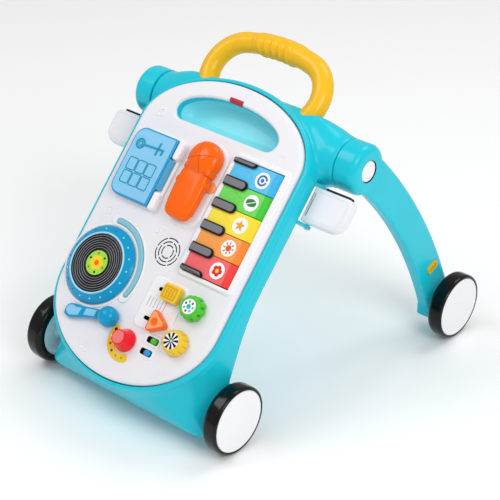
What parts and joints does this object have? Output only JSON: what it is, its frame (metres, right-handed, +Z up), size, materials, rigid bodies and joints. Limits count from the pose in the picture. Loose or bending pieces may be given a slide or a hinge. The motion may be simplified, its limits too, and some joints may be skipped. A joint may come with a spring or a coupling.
{
  "type": "baby walker",
  "caption": "Push-along baby walker with a reclined activity panel, piano keys, knobs and a turntable, round push handle, folding rear legs and side feet.",
  "frame": {"origin": "on the floor, under the middle of the whole walker's outer box", "axes": "+X to the right seen from the front, +Z up, the activity panel faces -Y and leans back, and the rear legs and the push handle are towards +Y"},
  "size_m": [0.43, 0.5082, 0.4101],
  "materials": {
    "turquoise": "glossy moulded shell",
    "white_plastic": "satin moulded shell",
    "handle_yellow": "glossy",
    "tyre_black": "glossy black",
    "pad_black": "matte rubber",
    "steel": "bright steel",
    "orange": "glossy",
    "blue_clear": "tinted glossy",
    "ring_blue": "glossy",
    "record_black": "grooved gloss",
    "label_green": "printed",
    "light_clear": "frosted",
    "key_blue": "glossy",
    "key_green": "glossy",
    "key_yellow": "glossy",
    "key_orange": "glossy",
    "key_red": "glossy",
    "key_gray": "satin",
    "slider_yellow": "glossy",
    "knob_green": "glossy",
    "dial_red": "glossy",
    "lock_amber": "tinted gloss",
    "speaker_grey": "satin",
    "circuit_green": "board",
    "cell_grey": "wrapped cell"
  },
  "bodies": {
    "root": {"front_frame": "turquoise", "push_handle": "handle_yellow", "panel_shell": "white_plastic", "panel_back": "white_plastic", "battery_door": "turquoise", "batteries": "cell_grey", "circuit_board": "circuit_green", "speaker_driver": "speaker_grey", "speaker_grille": "speaker_grey", "hinge_rods": "steel", "key_sharps": "key_gray", "light_window": "light_clear", "flap_base": "white_plastic", "mic_cradle": "white_plastic", "slider_plate": "white_plastic", "dial_plate": "handle_yellow", "red_tag": "dial_red", "hinge_pins": "steel", "screws": "steel", "front_axle": "steel", "key_rest": "pad_black"},
    "leg_right": {"leg_right": "turquoise", "rear_axle_right": "steel"},
    "hub_button_right": {"hub_button_right": "white_plastic"},
    "wheel_lock_right": {"wheel_lock_right": "lock_amber"},
    "foot_right": {"foot_right": "white_plastic", "foot_pad_right": "pad_black"},
    "front_wheel_right": {"tyre_front_right": "tyre_black", "hub_front_right": "white_plastic"},
    "rear_wheel_right": {"tyre_rear_right": "tyre_black", "hub_rear_right": "white_plastic"},
    "leg_left": {"leg_left": "turquoise", "rear_axle_left": "steel"},
    "hub_button_left": {"hub_button_left": "white_plastic"},
    "wheel_lock_left": {"wheel_lock_left": "lock_amber"},
    "foot_left": {"foot_left": "white_plastic", "foot_pad_left": "pad_black"},
    "front_wheel_left": {"tyre_front_left": "tyre_black", "hub_front_left": "white_plastic"},
    "rear_wheel_left": {"tyre_rear_left": "tyre_black", "hub_rear_left": "white_plastic"},
    "key_red": {"key_red": "key_red"},
    "key_orange": {"key_orange": "key_orange"},
    "key_yellow": {"key_yellow": "key_yellow"},
    "key_green": {"key_green": "key_green"},
    "key_blue": {"key_blue": "key_blue"},
    "turntable": {"turntable_ring": "ring_blue", "record_disc": "record_black", "record_label": "label_green", "turntable_spindle": "steel"},
    "tonearm": {"tonearm": "blue_clear"},
    "flap": {"flap_door": "blue_clear"},
    "microphone": {"mic_rocker": "orange"},
    "slider_square": {"slider_square": "slider_yellow"},
    "slider_triangle": {"slider_triangle": "orange"},
    "knob_green": {"knob_green": "knob_green"},
    "knob_yellow": {"knob_yellow": "slider_yellow"},
    "dial_red": {"dial_red": "dial_red"},
    "switch_green": {"switch_green": "knob_green"},
    "switch_blue": {"switch_blue": "blue_clear"}
  },
  "joints": [
    {"name": "leg_fold_right", "type": "hinge", "parent": "root", "child": "leg_right", "pos_m": [0.166, 0.03677, 0.305], "axis": [-1, 0, 0], "range_deg": [0, 30]},
    {"name": "front_wheel_right_spin", "type": "hinge", "parent": "root", "child": "front_wheel_right", "pos_m": [0.151, -0.17793, 0.045], "axis": [1, 0, 0], "continuous": true},
    {"name": "rear_wheel_right_spin", "type": "hinge", "parent": "leg_right", "child": "rear_wheel_right", "pos_m": [0.203, 0.20907, 0.045], "axis": [1, 0, 0], "continuous": true},
    {"name": "hub_button_right_press", "type": "slide", "parent": "leg_right", "child": "hub_button_right", "axis": [-1, 0, 0], "range_m": [0, 0.004], "stiffness_N_per_m": 400},
    {"name": "wheel_lock_right_press", "type": "slide", "parent": "leg_right", "child": "wheel_lock_right", "axis": [-1, 0, 0], "range_m": [0, 0.0025], "stiffness_N_per_m": 400},
    {"name": "foot_fold_right", "type": "hinge", "parent": "root", "child": "foot_right", "pos_m": [0.14, -0.01018, 0.25878], "axis": [0, 0.682, 0.7314], "range_deg": [0, 90]},
    {"name": "leg_fold_left", "type": "hinge", "parent": "root", "child": "leg_left", "pos_m": [-0.166, 0.03677, 0.305], "axis": [-1, 0, 0], "range_deg": [0, 30]},
    {"name": "front_wheel_left_spin", "type": "hinge", "parent": "root", "child": "front_wheel_left", "pos_m": [-0.151, -0.17793, 0.045], "axis": [1, 0, 0], "continuous": true},
    {"name": "rear_wheel_left_spin", "type": "hinge", "parent": "leg_left", "child": "rear_wheel_left", "pos_m": [-0.203, 0.20907, 0.045], "axis": [1, 0, 0], "continuous": true},
    {"name": "hub_button_left_press", "type": "slide", "parent": "leg_left", "child": "hub_button_left", "axis": [1, 0, 0], "range_m": [0, 0.004], "stiffness_N_per_m": 400},
    {"name": "wheel_lock_left_press", "type": "slide", "parent": "leg_left", "child": "wheel_lock_left", "axis": [1, 0, 0], "range_m": [0, 0.0025], "stiffness_N_per_m": 400},
    {"name": "foot_fold_left", "type": "hinge", "parent": "root", "child": "foot_left", "pos_m": [-0.14, -0.01018, 0.25878], "axis": [0, -0.682, -0.7314], "range_deg": [0, 90]},
    {"name": "key_red_press", "type": "hinge", "parent": "root", "child": "key_red", "pos_m": [0.049, -0.12803, 0.20131], "axis": [0, 0.682, 0.7314], "range_deg": [0, 2.5], "stiffness_Nm_per_rad": 2},
    {"name": "key_orange_press", "type": "hinge", "parent": "root", "child": "key_orange", "pos_m": [0.049, -0.10743, 0.2234], "axis": [0, 0.682, 0.7314], "range_deg": [0, 2.5], "stiffness_Nm_per_rad": 2},
    {"name": "key_yellow_press", "type": "hinge", "parent": "root", "child": "key_yellow", "pos_m": [0.049, -0.08684, 0.24549], "axis": [0, 0.682, 0.7314], "range_deg": [0, 2.5], "stiffness_Nm_per_rad": 2},
    {"name": "key_green_press", "type": "hinge", "parent": "root", "child": "key_green", "pos_m": [0.049, -0.06624, 0.26758], "axis": [0, 0.682, 0.7314], "range_deg": [0, 2.5], "stiffness_Nm_per_rad": 2},
    {"name": "key_blue_press", "type": "hinge", "parent": "root", "child": "key_blue", "pos_m": [0.049, -0.04564, 0.28966], "axis": [0, 0.682, 0.7314], "range_deg": [0, 2.5], "stiffness_Nm_per_rad": 2},
    {"name": "turntable_spin", "type": "hinge", "parent": "root", "child": "turntable", "pos_m": [-0.0738, -0.17229, 0.16998], "axis": [0, -0.7314, 0.682], "continuous": true},
    {"name": "tonearm_swing", "type": "hinge", "parent": "root", "child": "tonearm", "pos_m": [-0.0205, -0.20804, 0.13017], "axis": [0, -0.7314, 0.682], "range_deg": [0, 12]},
    {"name": "flap_open", "type": "hinge", "parent": "root", "child": "flap", "pos_m": [-0.1085, -0.08246, 0.27012], "axis": [0, -0.682, -0.7314], "range_deg": [0, 100]},
    {"name": "microphone_tilt", "type": "hinge", "parent": "root", "child": "microphone", "pos_m": [0.004, -0.1095, 0.24611], "axis": [1, 0, 0], "range_deg": [0, 20]},
    {"name": "square_slide", "type": "slide", "parent": "root", "child": "slider_square", "axis": [-1, 0, 0], "range_m": [0, 0.022]},
    {"name": "triangle_slide", "type": "slide", "parent": "root", "child": "slider_triangle", "axis": [-1, 0, 0], "range_m": [0, 0.022]},
    {"name": "green_knob_turn", "type": "hinge", "parent": "root", "child": "knob_green", "pos_m": [0.085, -0.17229, 0.16998], "axis": [0, -0.7314, 0.682], "continuous": true},
    {"name": "yellow_knob_turn", "type": "hinge", "parent": "root", "child": "knob_yellow", "pos_m": [0.0845, -0.20352, 0.13649], "axis": [0, -0.7314, 0.682], "continuous": true},
    {"name": "red_dial_turn", "type": "hinge", "parent": "root", "child": "dial_red", "pos_m": [0.0145, -0.22209, 0.12098], "axis": [0, -0.7314, 0.682], "range_deg": [-60, 60]},
    {"name": "green_switch_slide", "type": "slide", "parent": "root", "child": "switch_green", "axis": [-1, 0, 0], "range_m": [0, 0.006]},
    {"name": "blue_switch_slide", "type": "slide", "parent": "root", "child": "switch_blue", "axis": [-1, 0, 0], "range_m": [0, 0.006]}
  ]
}
